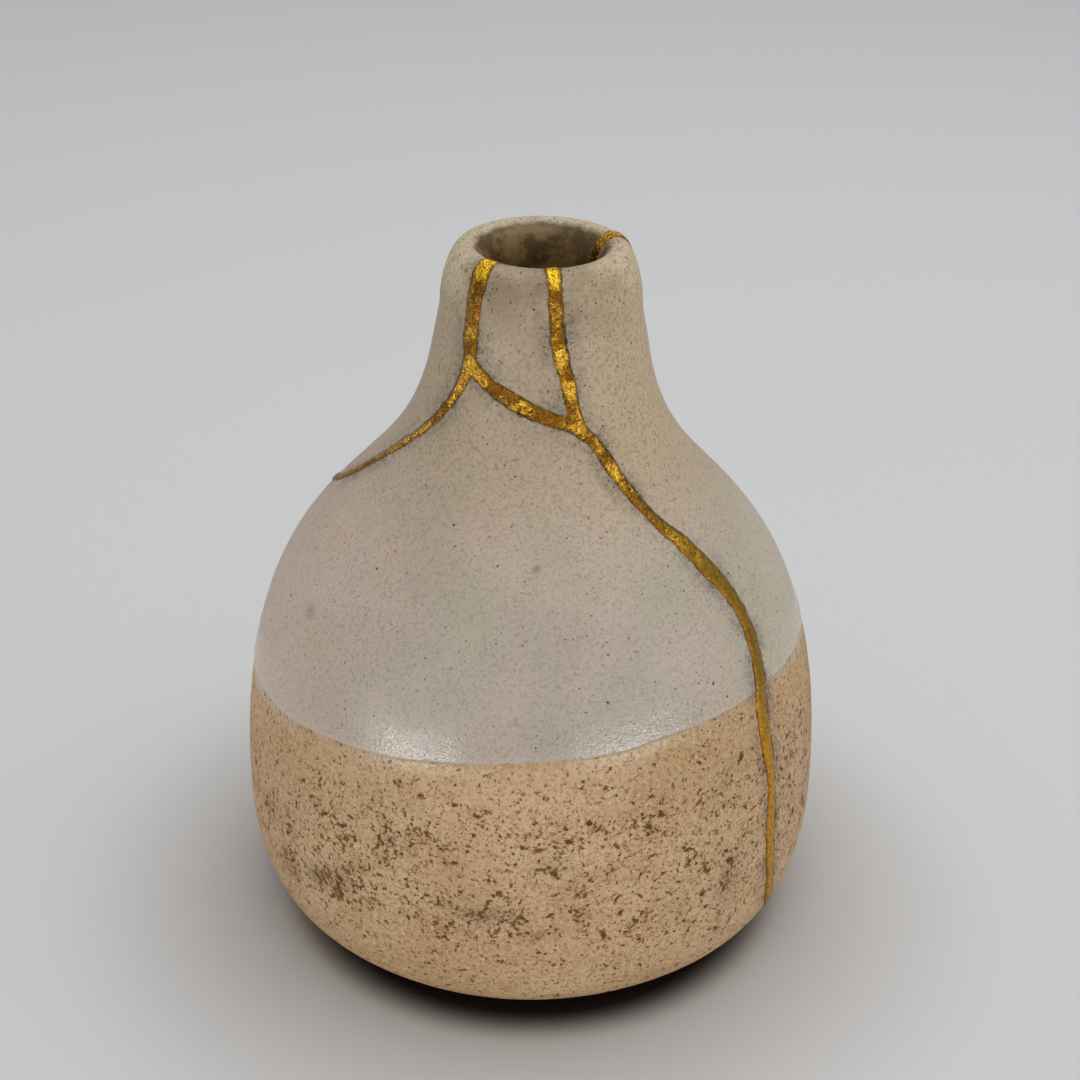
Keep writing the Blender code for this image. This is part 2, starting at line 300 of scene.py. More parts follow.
class Lattice:
    """Smooth seeded noise from -1 to 1 on points in space."""

    SIDE = 32

    def __init__(self, seed):
        self.values = np.random.default_rng(seed).uniform(-1.0, 1.0, (self.SIDE,) * 3)

    def at(self, points, cell):
        scaled = points / cell
        low = np.floor(scaled).astype(int)
        part = scaled - low
        part = part * part * (3 - 2 * part)
        total = np.zeros(len(points))
        for corner in np.ndindex(2, 2, 2):
            index = (low + corner) % self.SIDE
            weight = np.prod(np.where(corner, part, 1 - part), axis=1)
            total += weight * self.values[index[:, 0], index[:, 1], index[:, 2]]
        return total

    def waves(self, points, parts):
        """The sum of some waves, each given as its strength, its shift and its size."""
        return sum(strength * self.at(points + shift, size) for strength, shift, size in parts)


WOBBLE = Lattice(11)
RIPPLE = Lattice(23)
CRINKLE = Lattice(37)


def heading(azimuth):
    """The outward horizontal direction at an azimuth in radians."""
    return np.stack([np.sin(azimuth), -np.cos(azimuth), np.zeros_like(azimuth)], axis=1)


def lean(points):
    """Shifts the neck sideways as the CAD source does."""
    share = (points[:, 2] / HEIGHT - LEAN_START) / (1 - LEAN_START)
    points[:, 0] += NECK_LEAN * smooth(share)
    return points


def bare_skin(azimuth, station, inside):
    """Points and outward directions on the plain outer or inner skin."""
    section, normals = (INNER, INNER_NORMALS) if inside else (OUTER, OUTER_NORMALS)
    radius, height = (np.interp(station, STATIONS, section[:, k]) for k in range(2))
    out, up = (np.interp(station, STATIONS, normals[:, k]) for k in range(2))
    direction = heading(azimuth)
    points = direction * radius[:, None]
    points[:, 2] = height
    facing = direction * out[:, None]
    facing[:, 2] = up
    return lean(points), facing / np.linalg.norm(facing, axis=1)[:, None]


def glaze_station(azimuth):
    """Where the glaze ends on the outer skin: the dip plane, with the small waves of a hand dip."""
    low = np.full(len(azimuth), float(station_at(DIP_LOWEST)))
    high = np.full(len(azimuth), float(station_at(DIP_HIGHEST)))
    for _ in range(HALVINGS):
        middle = (low + high) / 2
        points, _ = bare_skin(azimuth, middle, False)
        above = points[:, 2] > DIP_HEIGHT + DIP_SLOPE_X * points[:, 0] + DIP_SLOPE_Y * points[:, 1]
        high = np.where(above, middle, high)
        low = np.where(above, low, middle)
    return (low + high) / 2 + WOBBLE.waves(heading(azimuth) * DIP_RING, DIP_WAVES) * MM


def glaze_height(distance_mm):
    """How far the surface stands off the plain skin near the glaze's edge, in millimetres."""
    clay = -GLAZE_FALL_MM * np.exp(np.minimum(distance_mm, 0.0) / CLAY_FALL_WIDTH_MM)
    roll = GLAZE_ROLL_MM * np.exp(-np.maximum(distance_mm, 0.0) / GLAZE_ROLL_WIDTH_MM)
    edge = smooth((distance_mm - GLAZE_EDGE_START_MM) / GLAZE_EDGE_MM)
    return clay + (roll + GLAZE_FALL_MM) * edge


def skin(azimuth, station, inside):
    """Points and directions on the finished surface, with the hand's unevenness and the glaze's edge."""
    points, facing = bare_skin(azimuth, station, inside)
    fade = smooth((CREST - station) / CREST_FADE) * smooth((station - FOOT_RADIUS) / FOOT_FADE)
    dents = WOBBLE.waves(points, DENT_WAVES) - DENT_SINK_MM
    rings = RIPPLE.waves(points * RING_STRETCH, RING_WAVES) - RING_SINK_MM
    lift = (dents + rings) * fade
    if not inside:
        lift += glaze_height((station - glaze_station(azimuth)) / MM)
    return points + facing * lift[:, None] * MM, facing


def seam_path(knots):
    """A break line as azimuths in radians, stations and half widths in millimetres."""
    knots = np.array(knots)
    padded = np.concatenate([[2 * knots[0] - knots[1]], knots, [2 * knots[-1] - knots[-2]]])
    t = np.linspace(0.0, 1.0, KNOT_STEPS, endpoint=False)[:, None]
    samples = []
    for before, start, end, after in zip(padded, padded[1:], padded[2:], padded[3:]):
        samples.append(0.5 * (2 * start + (end - before) * t
                              + (2 * before - 5 * start + 4 * end - after) * t * t
                              + (3 * start - before - 3 * end + after) * t ** 3))
    samples = np.concatenate(samples + [knots[-1:]])
    first = int(np.argmax(samples[:, 1] <= 1.0))
    samples = samples[max(first - 1, 0):]
    samples[:, 1] = np.minimum(samples[:, 1], 1.0)
    azimuth = np.radians(samples[:, 0])
    station = station_at(samples[:, 1] * HEIGHT)
    points, _ = bare_skin(azimuth, station, False)
    run = np.concatenate([[0.0], np.cumsum(np.linalg.norm(np.diff(points, axis=0), axis=1))])
    even = np.linspace(0.0, run[-1], max(4, round(run[-1] / MM / SEAM_STEP_MM)))
    half = samples[:, 2] * SEAM_WIDTH_MM / 2
    return tuple(np.interp(even, run, values) for values in (azimuth, station, half))


SEAM_PATHS = [seam_path(knots) for knots in SEAMS]


def seam_gap(points, inside):
    """Distance in millimetres from each point to the edge of the nearest gold bead; negative under it."""
    gaps = []
    for azimuth, station, half in SEAM_PATHS:
        line, _ = bare_skin(azimuth, station, inside)
        start, step = line[:-1], np.diff(line, axis=0)
        squared = (step * step).sum(axis=1)
        nearest = np.empty(len(points))
        for first in range(0, len(points), POINTS_AT_ONCE):
            block = points[first:first + POINTS_AT_ONCE]
            offset = block[:, None, :] - start[None]
            t = np.clip((offset * step[None]).sum(axis=2) / squared, 0.0, 1.0)
            away = np.linalg.norm(offset - t[:, :, None] * step[None], axis=2) / MM
            gap = away - (half[:-1] + np.diff(half) * t)
            nearest[first:first + POINTS_AT_ONCE] = gap.min(axis=1)
        gaps.append(nearest)
    total = gaps[0]
    for gap in gaps[1:]:
        blend = np.clip(0.5 + 0.5 * (gap - total) / FORK_FILLET_MM, 0.0, 1.0)
        total = gap + (total - gap) * blend - FORK_FILLET_MM * blend * (1 - blend)
    return total + BEAD_WAVE_MM * RIPPLE.waves(points, BEAD_EDGE_WAVES)


def grid_rows():
    """Stations of every row at every column; the rows close to the glaze's edge follow it."""
    azimuth = np.linspace(0.0, 2 * math.pi, COLUMNS, endpoint=False)
    line = glaze_station(azimuth)
    rows = [np.full(COLUMNS, station * MM) for station in FOOT_ROWS_MM]
    edge = [line + offset * MM for offset in EDGE_ROWS_MM]
    for share in np.arange(LOWER_ROWS) / LOWER_ROWS:
        rows.append(FOOT_RADIUS + (edge[0] - FOOT_RADIUS) * share)
    rows += edge
    for share in (np.arange(UPPER_ROWS) + 1) / (UPPER_ROWS + 1):
        rows.append(edge[-1] + (NECK_STATION - edge[-1]) * share)
    for share in np.arange(NECK_ROWS + 1) / NECK_ROWS:
        rows.append(np.full(COLUMNS, NECK_STATION + (CREST - NECK_STATION) * share))
    return azimuth, np.array(rows)


def clip(triangles, level):
    """Cuts triangles where level changes sign and keeps the positive side.

    Returns the kept triangles, and for each new vertex its two old ones and the share between them."""
    positive = level[triangles] > 0
    count = positive.sum(axis=1)
    kept = [triangles[count == 3]]
    made = {}
    fresh = []

    def crossing(a, b):
        key = (min(a, b), max(a, b))
        if key not in made:
            share = level[key[0]] / (level[key[0]] - level[key[1]])
            made[key] = len(level) + len(fresh)
            fresh.append((key[0], key[1], share))
        return made[key]

    pieces = []
    crossed = (count == 1) | (count == 2)
    for corners, sides in zip(triangles[crossed], positive[crossed]):
        outline = []
        for k in range(3):
            a, b = corners[k], corners[(k + 1) % 3]
            if sides[k]:
                outline.append(a)
            if sides[k] != sides[(k + 1) % 3]:
                outline.append(crossing(a, b))
        for k in range(1, len(outline) - 1):
            pieces.append((outline[0], outline[k], outline[k + 1]))
    kept.append(np.array(pieces, dtype=int).reshape(-1, 3))
    return np.concatenate(kept), np.array(fresh).reshape(-1, 3)


def with_fresh(values, fresh):
    """The values at the old vertices, and after them those at the new ones."""
    a, b, share = fresh[:, 0].astype(int), fresh[:, 1].astype(int), fresh[:, 2]
    return np.concatenate([values, values[a] * (1 - share) + values[b] * share])


def all_places(azimuth, station, fresh):
    """The places of old and new vertices; azimuths are mixed as directions, so they may cross the front."""
    east, north = with_fresh(np.sin(azimuth), fresh), with_fresh(np.cos(azimuth), fresh)
    mixed = np.arctan2(east, north)[len(azimuth):]
    return np.concatenate([azimuth, mixed]), with_fresh(station, fresh)


def islands(count, triangles):
    """A label for each vertex that is the same for all vertices of one connected piece."""
    label = np.arange(count)
    while True:
        lowest = label[triangles].min(axis=1)
        joined = label.copy()
        for k in range(3):
            np.minimum.at(joined, triangles[:, k], lowest)
        joined = joined[joined]
        if (joined == label).all():
            return label
        label = joined


def rim_edges(triangles):
    """Edges that belong to one triangle alone, in that triangle's direction."""
    edges = np.concatenate([triangles[:, [k, (k + 1) % 3]] for k in range(3)])
    code = np.sort(edges, axis=1) @ np.array([1 << 32, 1])
    _, first, uses = np.unique(code, return_index=True, return_counts=True)
    return edges[first[uses == 1]]


def walls(edges, shared, shift):
    """Triangles that join the rim of one skin to the rim of the other, whose vertices come shift later."""
    a, b = edges[:, 0], edges[:, 1]
    far_a = np.where(shared[a], a, a + shift)
    far_b = np.where(shared[b], b, b + shift)
    faces = np.concatenate([np.stack([b, a, far_a], axis=1), np.stack([b, far_a, far_b], axis=1)])
    distinct = (faces[:, 0] != faces[:, 1]) & (faces[:, 1] != faces[:, 2]) & (faces[:, 0] != faces[:, 2])
    return faces[distinct]


def make_piece(name, points, faces, attributes, material):
    """A mesh object from arrays, with the vertices that no face uses left out."""
    used, packed = np.unique(faces, return_inverse=True)
    packed = packed.reshape(-1, 3)
    mesh = bpy.data.meshes.new(name)
    mesh.vertices.add(len(used))
    mesh.vertices.foreach_set("co", points[used].astype(np.float32).ravel())
    mesh.loops.add(packed.size)
    mesh.loops.foreach_set("vertex_index", packed.astype(np.int32).ravel())
    mesh.polygons.add(len(packed))
    mesh.polygons.foreach_set("loop_start", np.arange(0, packed.size, 3, dtype=np.int32))
    for label, values in attributes.items():
        layer = mesh.attributes.new(label, "FLOAT", "POINT")
        layer.data.foreach_set("value", values[used].astype(np.float32))
    mesh.update(calc_edges=True)
    mesh.validate()
    mesh.shade_smooth()
    piece = bpy.data.objects.new(name, mesh)
    bpy.context.scene.collection.objects.link(piece)
    mesh.materials.append(material)
    return piece


def grime_at(points):
    """How strongly the outer skin is smudged at each point, from the named smudges."""
    total = np.zeros(len(points))
    for azimuth, share, across, up, strength in SMUDGES:
        centre, _ = bare_skin(np.radians([azimuth]), station_at([share * HEIGHT]), False)
        offset = (points - centre) / MM
        side = np.array([math.cos(math.radians(azimuth)), math.sin(math.radians(azimuth)), 0.0])
        sideways = offset @ side
        beyond = np.sqrt(np.maximum((offset ** 2).sum(axis=1) - sideways ** 2, 0.0))
        total += strength * np.exp(-(sideways / across) ** 2 - (beyond / up) ** 2)
    return total


def make_shards(azimuths, rows, finish):
    """Four closed shards, cut out of the two skins along the break lines."""
    count = len(rows)
    azimuth = np.tile(azimuths, count)
    station = rows.ravel()
    index = np.arange(count * COLUMNS).reshape(count, COLUMNS)
    index[0] = index[0, 0]
    lower, upper = index[:-1], index[1:]
    next_lower, next_upper = np.roll(lower, -1, axis=1), np.roll(upper, -1, axis=1)
    triangles = np.concatenate([
        np.stack([lower, next_lower, next_upper], axis=2).reshape(-1, 3),
        np.stack([lower, next_upper, upper], axis=2).reshape(-1, 3)])
    triangles = triangles[triangles[:, 0] != triangles[:, 1]]
    flat, _ = bare_skin(azimuth, station, False)
    gap = seam_gap(flat, False)
    triangles, fresh = clip(triangles, gap + BEAD_OVERLAP_MM)
    azimuth, station = all_places(azimuth, station, fresh)
    gap = with_fresh(gap, fresh)
    total = len(station)
    on_crest = station > CREST - CREST_TOUCH
    outer, _ = skin(azimuth, station, False)
    inner, _ = skin(azimuth, station, True)
    inner_faces = triangles[:, ::-1]
    inner_faces = np.where(on_crest[inner_faces], inner_faces, inner_faces + total)
    points = np.concatenate([outer, inner])
    line = (station - glaze_station(azimuth)) / MM
    depth = smooth((CREST - station) / CREST_FADE)
    place, _ = bare_skin(azimuth, station, False)
    attributes = {
        "glaze_line": np.concatenate([line, np.full(total, INSIDE_LINE_MM)]),
        "seam_gap": np.concatenate([gap, gap]),
        "inside": np.concatenate([np.zeros(total), depth]),
        "grime": np.concatenate([grime_at(place), np.zeros(total)]),
    }
    label = islands(total, triangles)
    for name, (probe_azimuth, share, slot) in SHARDS.items():
        probe, _ = bare_skin(np.radians([probe_azimuth]), station_at([share * HEIGHT]), False)
        nearest = triangles[:, 0][np.argmin(np.linalg.norm(place[triangles[:, 0]] - probe, axis=1))]
        mine = label[triangles[:, 0]] == label[nearest]
        edges = rim_edges(triangles[mine])
        edges = edges[~(on_crest[edges].all(axis=1))]
        faces = np.concatenate([triangles[mine], inner_faces[mine], walls(edges, on_crest, total)])
        piece = make_piece(name + "_dressed", points, faces, attributes, finish)
        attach(piece, "root")
        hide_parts(name)


def gold_cells(azimuths, rows, inside):
    """The grid cells that a gold bead touches, split finer, as keys of their corners."""
    count = len(rows)
    flat, _ = bare_skin(np.tile(azimuths, count), rows.ravel(), inside)
    gap = seam_gap(flat, inside).reshape(count, COLUMNS)
    reach = gap < BEAD_CELLS_REACH_MM
    near = reach[:-1] | reach[1:]
    near = near | np.roll(near, -1, axis=1)
    row, column = np.nonzero(near)
    width = COLUMNS * GOLD_SPLIT_U
    faces = []
    for i in range(GOLD_SPLIT_S):
        for j in range(GOLD_SPLIT_U):
            top, left = row * GOLD_SPLIT_S + i, column * GOLD_SPLIT_U + j
            right = (left + 1) % width
            corners = [top * width + left, top * width + right,
                       (top + 1) * width + right, (top + 1) * width + left]
            faces += [np.stack([corners[0], corners[1], corners[2]], axis=1),
                      np.stack([corners[0], corners[2], corners[3]], axis=1)]
    return np.concatenate(faces)


def key_places(keys, rows):
    """Azimuth and station of the corners of the split cells."""
    width = COLUMNS * GOLD_SPLIT_U
    row, column = keys // width, keys % width
    azimuth = column / width * 2 * math.pi
    low_row, row_part = row // GOLD_SPLIT_S, (row % GOLD_SPLIT_S) / GOLD_SPLIT_S
    high_row = np.minimum(low_row + 1, len(rows) - 1)
    low_column, column_part = column // GOLD_SPLIT_U, (column % GOLD_SPLIT_U) / GOLD_SPLIT_U
    high_column = (low_column + 1) % COLUMNS
    low = rows[low_row, low_column] * (1 - column_part) + rows[low_row, high_column] * column_part
    high = rows[high_row, low_column] * (1 - column_part) + rows[high_row, high_column] * column_part
    return azimuth, low * (1 - row_part) + high * row_part


def bead_height(gap, points, inside):
    """How far the gold stands off the skin in millimetres: a rounded bead, crumpled on the neck."""
    rise = BEAD_RISE_INSIDE_MM if inside else BEAD_RISE_MM
    across = np.clip(-gap / BEAD_SHOULDER_MM, 0.0, 1.0)
    crown = 1 - (1 - across) ** BEAD_ROUNDNESS
    uneven = BEAD_LEVEL + CRINKLE.waves(points, BEAD_TOP_WAVES)
    crumple = smooth((points[:, 2] - CRUMPLE_START) / CRUMPLE_RUN) * CRUMPLE
    folds = np.clip(1 - np.abs(CRINKLE.at(points + CRUMPLE_SHIFT, CRUMPLE_SIZE)) * 2, *CRUMPLE_LIMITS)
    return rise * crown * (uneven + crumple * folds) - BEAD_SINK_MM


def make_gold(azimuths, rows, finish):
    """One closed network of gold beads over both skins, joined over the lip."""
    crest_key = (len(rows) - 1) * GOLD_SPLIT_S * COLUMNS * GOLD_SPLIT_U
    shift = crest_key * 2
    outside = gold_cells(azimuths, rows, False)
    within = gold_cells(azimuths, rows, True)[:, ::-1]
    within = np.where(within >= crest_key, within, within + shift)
    keys, triangles = np.unique(np.concatenate([outside, within]), return_inverse=True)
    triangles = triangles.reshape(-1, 3)
    inside = keys >= shift
    azimuth, station = key_places(np.where(inside, keys - shift, keys), rows)
    gap = np.empty(len(keys))
    for side in (False, True):
        flat, _ = bare_skin(azimuth[inside == side], station[inside == side], side)
        gap[inside == side] = seam_gap(flat, side)
    triangles, fresh = clip(triangles, -gap)
    azimuth, station = all_places(azimuth, station, fresh)
    gap = with_fresh(gap, fresh)
    a, b = fresh[:, :2].astype(int).T
    inside = np.concatenate([inside, inside[a] | inside[b]])
    top = np.empty((len(station), 3))
    bottom = np.empty((len(station), 3))
    for side in (False, True):
        chosen = inside == side
        points, facing = skin(azimuth[chosen], station[chosen], side)
        height = bead_height(gap[chosen], points, side)
        top[chosen] = points + facing * height[:, None] * MM
        bottom[chosen] = points - facing * BEAD_DEPTH_MM * MM
    total = len(station)
    sides = walls(rim_edges(triangles), np.zeros(total, bool), total)
    faces = np.concatenate([triangles, triangles[:, ::-1] + total, sides])
    attributes = {
        "seam_gap": np.concatenate([gap, gap]),
        "inside": np.concatenate([inside, inside]).astype(float),
    }
    piece = make_piece("gold_seams_dressed", np.concatenate([top, bottom]), faces, attributes, finish)
    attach(piece, "root")
    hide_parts("gold_seams")


def colour(red, green, blue):
    """A linear colour from display values of 0 to 255."""
    return tuple(
        (v / 255 / 12.92 if v / 255 <= 0.04045 else ((v / 255 + 0.055) / 1.055) ** 2.4)
        for v in (red, green, blue)) + (1.0,)


CLAY_WARM = colour(186, 153, 115)
CLAY_PALE = colour(198, 166, 129)
CLAY_GRAIN = colour(152, 114, 70)
CLAY_SAND = colour(220, 190, 147)
CLAY_OCHRE = colour(173, 141, 92)
CLAY_FLECK = colour(124, 84, 28)
CLAY_SPOT = colour(84, 48, 0)
SMUDGE_HAZE = colour(120, 98, 66)
GLAZE_GREY = colour(173, 161, 147)
GLAZE_PALE = colour(189, 175, 162)
GLAZE_GREEN = colour(168, 166, 142)
GLAZE_PINK = colour(192, 164, 150)
GLAZE_NECK = colour(176, 154, 123)
# Painted light on the neck's right side
GLAZE_NECK_RIGHT_PAINTED_LIGHT = colour(198, 174, 139)
GLAZE_LIP = colour(154, 132, 98)
GLAZE_CREST = colour(210, 191, 158)
# Painted light on the glaze's flanks: a lighter, pinker tint on the left and a lighter tint on the right
GLAZE_LEFT_PAINTED_LIGHT = colour(204, 178, 160)
GLAZE_RIGHT_PAINTED_LIGHT = colour(197, 188, 160)
GLAZE_SHADE = colour(134, 122, 102)
GLAZE_FLECK = colour(120, 112, 96)
GLAZE_PIN = colour(50, 36, 24)
# Pale thin glaze at its edge, also painted light against the shade of the glaze's step
GLAZE_THIN_EDGE_AND_LIGHT = colour(204, 190, 174)
STAIN_PALE = colour(118, 110, 92)
# Dark stain marks beside the seams; also specks and painted shade inside the mouth
STAIN_DARK_AND_SHADE = colour(52, 44, 34)
LACQUER = colour(44, 28, 14)
# Painted shade inside the mouth, from the inner wall's paler upper part to its darker depth
MOUTH_SHADE_PALE = colour(152, 124, 78)
MOUTH_SHADE_DARK = colour(100, 77, 42)
GOLD_BRIGHT = (0.92, 0.54, 0.055, 1.0)
GOLD_DEEP = (0.27, 0.115, 0.01, 1.0)
GOLD_OLIVE = (0.36, 0.215, 0.024, 1.0)
GOLD_LOW = (0.62, 0.32, 0.028, 1.0)
# Painted highlight on the gold along the rim's top
GOLD_RIM_HIGHLIGHT = (0.97, 0.56, 0.03, 1.0)
GOLD_EDGE = (0.3, 0.115, 0.01, 1.0)
# Worn gold; also painted shade in a band under the rim's top, and darker gold inside the mouth
GOLD_WORN_AND_SHADE = (0.2, 0.085, 0.008, 1.0)
PAPER = (0.71, 0.71, 0.705, 1.0)
# Painted shadow on the floor: a soft shade round the vase's foot and a near black contact shadow under its
# belly
PAINTED_FLOOR_SHADE = (0.3, 0.26, 0.22, 1.0)
PAINTED_CONTACT_SHADOW = (0.01, 0.004, 0.001, 1.0)

# Dust has a size in mm, a level and a strength; specks have a cell and a radius in mm, and a share of cells
CLAY_DUST = ((0.2, 0.602, 0.7), (0.34, 0.6, 0.95), (0.6, 0.621, 0.95))
CLAY_SPECKS = ((1.5, 0.14, 0.45, 0.8), (3.6, 0.24, 0.4, 0.9))
GLAZE_DUST = ((0.16, 0.6, 0.35), (0.34, 0.645, 0.4))
GLAZE_PINS = ((0.9, 0.15, 0.5, 0.75), (2.0, 0.2, 0.45, 1.0), (4.6, 0.28, 0.45, 1.0))
LIP_PINS = (0.6, 0.2, 0.5)
NECK_PINS = (0.6, 0.17, 0.3)
STAIN_VEINS_MM = (0.5, 1.1)
STAIN_DOTS = ((0.55, 0.1, 0.6), (1.6, 0.2, 0.6))

# Places between which the look changes, in metres: to the right, to the back, and then heights
# The first three spans are where painted light lightens the glaze: its right flank, its left flank and the
# neck's right side
RIGHT_LIGHT_SPAN = (0.012, 0.042)
LEFT_LIGHT_SPAN = (-0.04, -0.012)
NECK_RIGHT_LIGHT_SPAN = (0.002, 0.013)
LIP_FRONT = (-0.012, -0.005)
SPOTS_START = (0.008, 0.02)
NECK_TINT = (0.052, 0.085)
NECK_WEAR = (0.06, 0.085)
LIP_WEAR = (0.09, 0.097)
LIP_TINT = (0.0928, 0.0978)
GOLD_LOW_END = (0.034, 0.05)
GOLD_LEAF_START = (0.058, 0.076)
# Heights of the painted shade band on the gold under the rim's top, and of the painted highlight on the top
# itself
GOLD_SHADE_BAND = (0.0905, 0.0955)
GOLD_SHADE_BAND_END = (0.0975, 0.0988)
GOLD_HIGHLIGHT_START = (0.0978, 0.0992)

# Distances from the glaze's edge, or from the gold's, between which the look changes
SPOTS_BAND_MM = (3.0, 13.0)
GLAZE_START_MM = (-0.05, 0.08)
GLAZE_RIM_MM = (0.05, 0.2)
GLAZE_RIM_END_MM = (0.45, 1.1)
GLAZE_DULL_MM = (1.5, 8.0)
CLAY_GLOSS_MM = (0.9, 2.4)
STAIN_REACH_MM = (0.1, 2.9)
LACQUER_REACH_MM = (0.02, 0.2)
GOLD_EDGE_MM = (-0.5, -0.12)
GOLD_LACQUER_MM = (-0.12, 0.02)

# Roughness from least to most, and the depth of the relief that the nodes add
GLAZE_ROUGHNESS = (0.15, 0.26)
GLAZE_DULLING = 0.32
CLAY_ROUGHNESS = (0.2, 0.66)
CLAY_UNEVENNESS = 0.16
GOLD_LOW_ROUGHNESS = (0.42, 0.56)
GOLD_HIGH_ROUGHNESS = (0.14, 0.3)
PAPER_ROUGHNESS = 0.9
GLAZE_BUMP_MM = 0.16
CLAY_BUMP_MM = 0.08
GOLD_BUMP_MM = 0.36

# Stage, in metres: a floor that bends up behind the vase, and the centre and reach of the painted shadows
# round its foot
FLOOR_FRONT = -2.0
FLOOR_REACH = 1.0
FLOOR_BEND = 0.5
BACK_HEIGHT = 1.8
BACK_HALF_WIDTH = 2.5
PAINTED_SHADOW_CENTRE = (0.0005, -0.005, 0.0)
PAINTED_SHADOW_REACH = (0.0305, 0.0378)
PAINTED_SHADE_REACH = (0.04, 0.075)

# Room light: its tint, the way it grows, and the span along that with the strength at each end
ROOM_TINT = (0.95, 0.965, 1.0, 1.0)
ROOM_LIFT = (0.28, 0.5, 1.0)
ROOM_LEVELS = (-0.3, 0.8, 0.2, 0.51)

# Lamps: place, aim, width, depth, power in watts, and whether they light the vase alone
LAMPS = {
    "top_light": ((0.1, 0.06, 0.8), (0.0, 0.0, 0.03), 1.0, 1.0, 4.2, False),
    "left_light": ((-0.45, -0.48, 0.012), (0.0, 0.0, 0.045), 0.34, 0.04, 1.55, True),
    "right_light": ((0.41, -0.51, 0.026), (0.0, 0.0, 0.045), 0.4, 0.045, 1.15, True),
}

# Camera, fitted to the photograph: its place, its pitch below the horizon and its roll in degrees
CAMERA_PLACE = (0.0010, -0.2498, 0.1906)
CAMERA_PITCH = 28.41
CAMERA_ROLL = 0.77
CAMERA_LENS_MM = 66.67
CAMERA_SENSOR_MM = 36.0


class Finish:
    """A material and short ways to add nodes to it."""

    def __init__(self, name):
        self.material = bpy.data.materials.new(name)
        self.material.use_nodes = True
        self.tree = self.material.node_tree
        self.shader = self.tree.nodes["Principled BSDF"]
        self.place = self.add("ShaderNodeTexCoord").outputs["Object"]

    def add(self, kind, **settings):
        node = self.tree.nodes.new(kind)
        for key, value in settings.items():
            setattr(node, key, value)
        return node

    def feed(self, socket, value):
        if isinstance(value, bpy.types.NodeSocket):
            self.tree.links.new(value, socket)
        else:
            socket.default_value = value

    def math(self, operation, a, b=0.0, c=0.0, clamp=False):
        node = self.add("ShaderNodeMath", operation=operation, use_clamp=clamp)
        for socket, value in zip(node.inputs, (a, b, c)):
            self.feed(socket, value)
        return node.outputs[0]

    def times(self, a, b):
        return self.math("MULTIPLY", a, b)

    def plus(self, a, b):
        return self.math("ADD", a, b)

    def span(self, value, low, high, start=0.0, end=1.0):
        """A smooth change from start to end as value goes from low to high."""
        node = self.add("ShaderNodeMapRange", interpolation_type="SMOOTHSTEP")
        for socket, number in zip(node.inputs, (value, low, high, start, end)):
            self.feed(socket, number)
        return node.outputs[0]

    def mix(self, kind, label, share, a, b):
        """A Mix node of one kind, whose sockets of that kind carry the label."""
        node = self.add("ShaderNodeMix", data_type=kind)
        for name, value in (("Factor_Float", share), ("A_" + label, a), ("B_" + label, b)):
            self.feed(next(s for s in node.inputs if s.identifier == name), value)
        return next(s for s in node.outputs if s.identifier == "Result_" + label)

    def blend(self, share, a, b):
        return self.mix("RGBA", "Color", share, a, b)

    def pick(self, share, a, b):
        return self.mix("FLOAT", "Float", share, a, b)

    def noise(self, size_mm, detail=2.0, roughness=0.5):
        """Cloudy noise around 0.5 whose lumps are about size_mm across."""
        node = self.add("ShaderNodeTexNoise")
        self.feed(node.inputs["Vector"], self.place)
        for key, value in (("Scale", 1000.0 / size_mm / 2), ("Detail", detail), ("Roughness", roughness)):
            node.inputs[key].default_value = value
        return node.outputs["Fac"]

    def swing(self, size_mm, detail=2.0, roughness=0.5):
        """The same noise around 0."""
        return self.math("SUBTRACT", self.noise(size_mm, detail, roughness), 0.5)

    def specks(self, cell_mm, radius_mm, share, ragged=0.4):
        """Ragged spots of half to full radius_mm, in that share of the cells; 1 inside a spot."""
        warp = self.add("ShaderNodeTexNoise")
        self.feed(warp.inputs["Vector"], self.place)
        warp.inputs["Scale"].default_value = 1000.0 / radius_mm / 2.2
        warp.inputs["Detail"].default_value = 1.0
        cells = self.add("ShaderNodeTexVoronoi")
        self.feed(cells.inputs["Vector"], self.place)
        cells.inputs["Scale"].default_value = 1000.0 / cell_mm
        chance = self.add("ShaderNodeSeparateColor")
        self.feed(chance.inputs[0], cells.outputs["Color"])
        full = radius_mm / cell_mm
        reach = self.times(self.span(chance.outputs[0], 1.0 - share, 1.0, full * 0.5, full),
                           self.math("GREATER_THAN", chance.outputs[0], 1.0 - share))
        rough = self.math("MULTIPLY_ADD", self.math("SUBTRACT", warp.outputs["Fac"], 0.5), ragged * 2, 1.0)
        inner = self.math("SUBTRACT", self.times(reach, rough), cells.outputs["Distance"])
        return self.span(inner, 0.0, 0.25 * full)

    def attribute(self, name):
        return self.add("ShaderNodeAttribute", attribute_name=name).outputs["Fac"]

    def axis(self, index):
        node = self.add("ShaderNodeSeparateXYZ")
        self.feed(node.inputs[0], self.place)
        return node.outputs[index]

    def bump(self, height, depth_mm):
        node = self.add("ShaderNodeBump")
        node.inputs["Strength"].default_value = 1.0
        node.inputs["Distance"].default_value = depth_mm * MM
        self.feed(node.inputs["Height"], height)
        return node.outputs["Normal"]

    def close(self, base, roughness, normal, **constants):
        self.feed(self.shader.inputs["Base Color"], base)
        self.feed(self.shader.inputs["Roughness"], roughness)
        self.feed(self.shader.inputs["Normal"], normal)
        for name, value in constants.items():
            self.shader.inputs[name.replace("_", " ")].default_value = value
        return self.material


